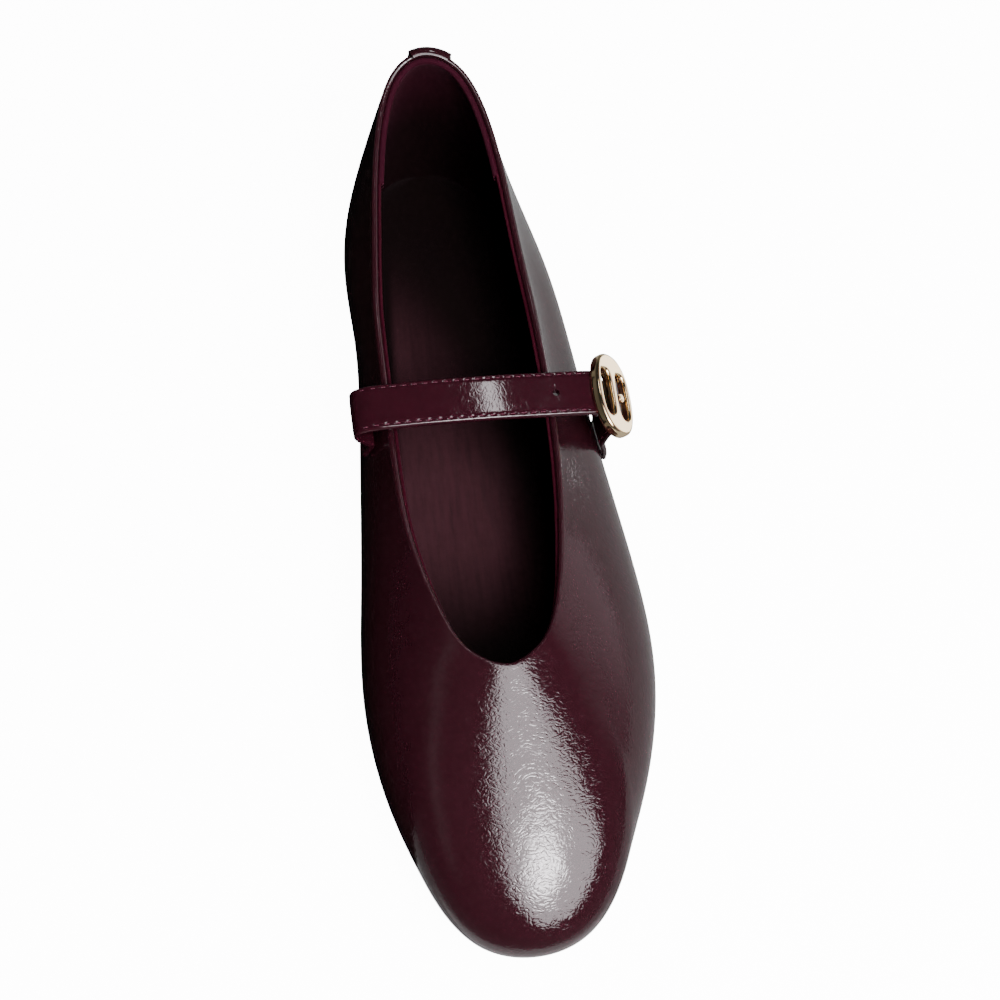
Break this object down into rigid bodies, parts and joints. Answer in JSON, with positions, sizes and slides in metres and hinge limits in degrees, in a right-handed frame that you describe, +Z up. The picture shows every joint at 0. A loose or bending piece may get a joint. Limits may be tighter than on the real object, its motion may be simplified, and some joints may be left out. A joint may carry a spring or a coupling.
{
  "type": "ballet flat with instep strap",
  "caption": "Women's left ballet flat with a round toe, open vamp, low heel and an instep strap that ends in an oval buckle on the outer side.",
  "frame": {"origin": "centre of the heel's flat underside, on the floor", "axes": "the toe points to -Y, the outer side of the foot is +X and +Z is up"},
  "size_m": [0.0828, 0.2488, 0.073],
  "materials": {
    "patent_leather": "dark burgundy crinkled patent leather",
    "lining_leather": "matte dark burgundy leather",
    "sole_rubber": "matte near-black rubber",
    "pale_gold": "polished pale champagne gold"
  },
  "bodies": {
    "root": {"upper": "patent_leather", "heel_tab": "patent_leather", "strap": "patent_leather", "buckle_tab": "patent_leather", "insole": "lining_leather", "outsole": "sole_rubber", "heel": "sole_rubber", "buckle": "pale_gold", "prong": "pale_gold"}
  },
  "joints": []
}
